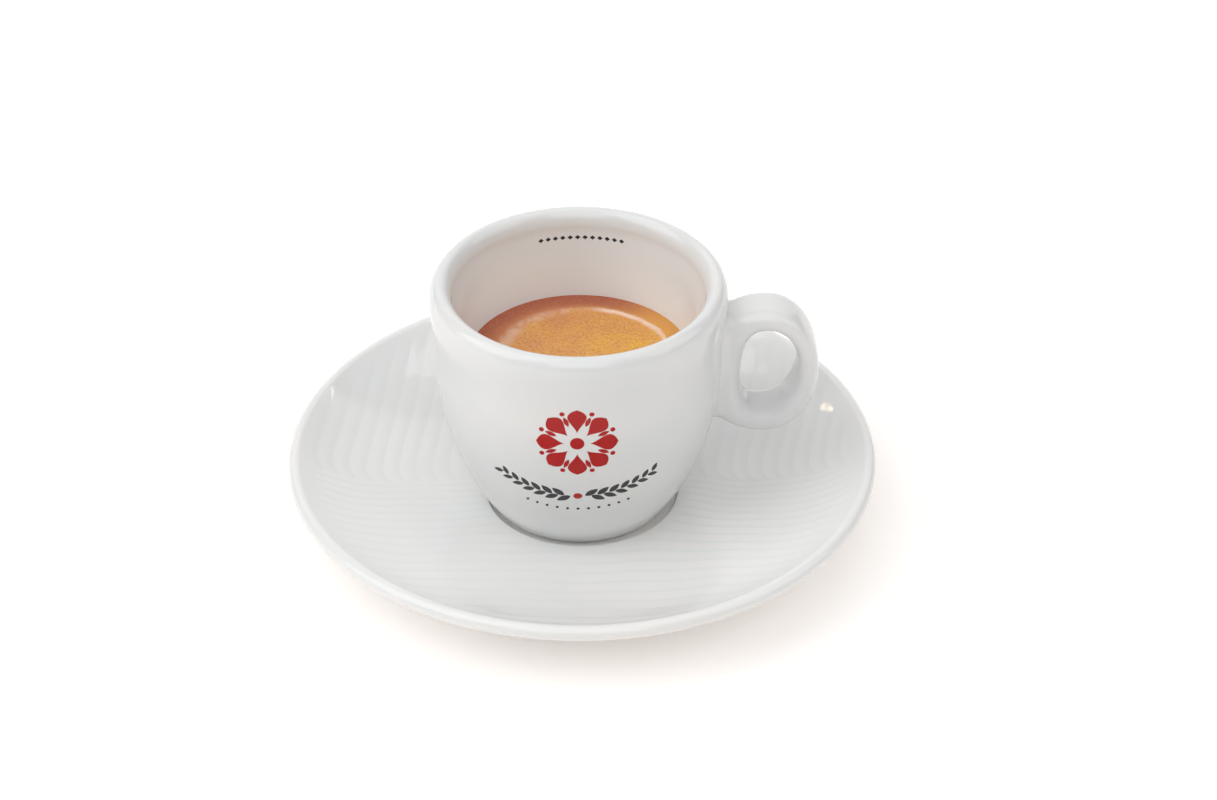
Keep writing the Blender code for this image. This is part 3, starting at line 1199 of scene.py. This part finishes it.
class ESPRESSO_OT_stage(bpy.types.Operator):
    """Set up the floor, the light and the camera"""

    bl_idname = "espresso.stage"
    bl_label = "Stage"

    def execute(self, context):
        scene = context.scene
        settings = scene.espresso_stage
        mesh = bpy.data.meshes.new("floor")
        turns = ((-1, -1), (1, -1), (1, 1), (-1, 1))
        corners = [(x * FLOOR_REACH, y * FLOOR_REACH, -FLOOR_DEPTH) for x, y in turns]
        mesh.from_pydata(corners, [], [(0, 1, 2, 3)])
        made, graph, shader = new_material(
            "floor_matt", Roughness=0.9, Specular_IOR_Level=0.1, Emission_Strength=1.0
        )
        graph.feed(shader.inputs["Base Color"], tuple(settings.floor))
        graph.feed(shader.inputs["Emission Color"], tuple(settings.glow))
        mesh.materials.append(made)
        floor = placed("floor", mesh)

        world = bpy.data.worlds.new("soft_sky")
        world.use_nodes = True
        back = world.node_tree.nodes["Background"]
        back.inputs["Color"].default_value = (1, 1, 1, 1)
        back.inputs["Strength"].default_value = settings.sky
        scene.world = world
        area_light("key", (-1.0, -0.3, 1.1), (1.3, 1.3), settings.key)
        area_light("low", (-1.3, -0.2, 0.45), (0.9, 0.7), settings.low)
        area_light("top", (0.0, 0.1, 1.3), (1.2, 1.2), settings.top)
        area_light("side", (1.0, -0.2, 0.8), (1.0, 1.0), settings.side)
        area_light("front", (0.0, -1.0, 1.0), (1.0, 1.0), settings.front)
        area_light("back", (0.0, 1.2, 0.55), (2.0, 1.2), settings.back)
        area_light("strip_right", (0.78, 0.78, 0.86), (0.2, 0.012), settings.glint)
        area_light("lamp_left", (-0.66, 0.9, 0.84), (0.04, 0.06), settings.glint, (1.0, 0.76, 0.5))

        lens = bpy.data.cameras.new("photo_view")
        lens.sensor_width = 36.0
        lens.lens = CAMERA_LENS
        lens.clip_start = 0.01
        lens.clip_end = 20.0
        camera = placed("photo_view", lens)
        camera.location = (CUP_X, *CAMERA_PLACE)
        turn = Matrix.Identity(3)
        for degrees, axis in CAMERA_TURNS:
            turn = turn @ Matrix.Rotation(math.radians(degrees), 3, axis)
        camera.rotation_euler = turn.to_euler()
        scene.camera = camera
        scene.view_settings.view_transform = "Standard"
        return {"FINISHED"}


class ESPRESSO_PT_sidebar(bpy.types.Panel):
    """Lists the operators and their settings"""

    bl_label = "Espresso"
    bl_idname = "ESPRESSO_PT_sidebar"
    bl_space_type = "VIEW_3D"
    bl_region_type = "UI"
    bl_category = "Espresso"

    def draw(self, context):
        for kind, name in SETTINGS:
            box = self.layout.box()
            box.operator("espresso." + name.removeprefix("espresso_"))
            for label in kind.__annotations__:
                box.prop(getattr(context.scene, name), label)


SETTINGS = (
    (SaucerSettings, "espresso_saucer"),
    (CupSettings, "espresso_cup"),
    (DrinkSettings, "espresso_drink"),
    (OrnamentSettings, "espresso_ornament"),
    (StageSettings, "espresso_stage"),
)
OPERATORS = (
    ESPRESSO_OT_saucer,
    ESPRESSO_OT_cup,
    ESPRESSO_OT_drink,
    ESPRESSO_OT_ornament,
    ESPRESSO_OT_stage,
)


def register():
    for kind, name in SETTINGS:
        bpy.utils.register_class(kind)
        setattr(bpy.types.Scene, name, PointerProperty(type=kind))
    for kind in OPERATORS:
        bpy.utils.register_class(kind)
    bpy.utils.register_class(ESPRESSO_PT_sidebar)


def unregister():
    bpy.utils.unregister_class(ESPRESSO_PT_sidebar)
    for kind in reversed(OPERATORS):
        bpy.utils.unregister_class(kind)
    for kind, name in reversed(SETTINGS):
        delattr(bpy.types.Scene, name)
        bpy.utils.unregister_class(kind)


def main():
    register()
    bpy.ops.espresso.saucer()
    bpy.ops.espresso.cup()
    bpy.ops.espresso.drink()
    bpy.ops.espresso.ornament()
    bpy.ops.espresso.stage()


if __name__ == "__main__":
    main()
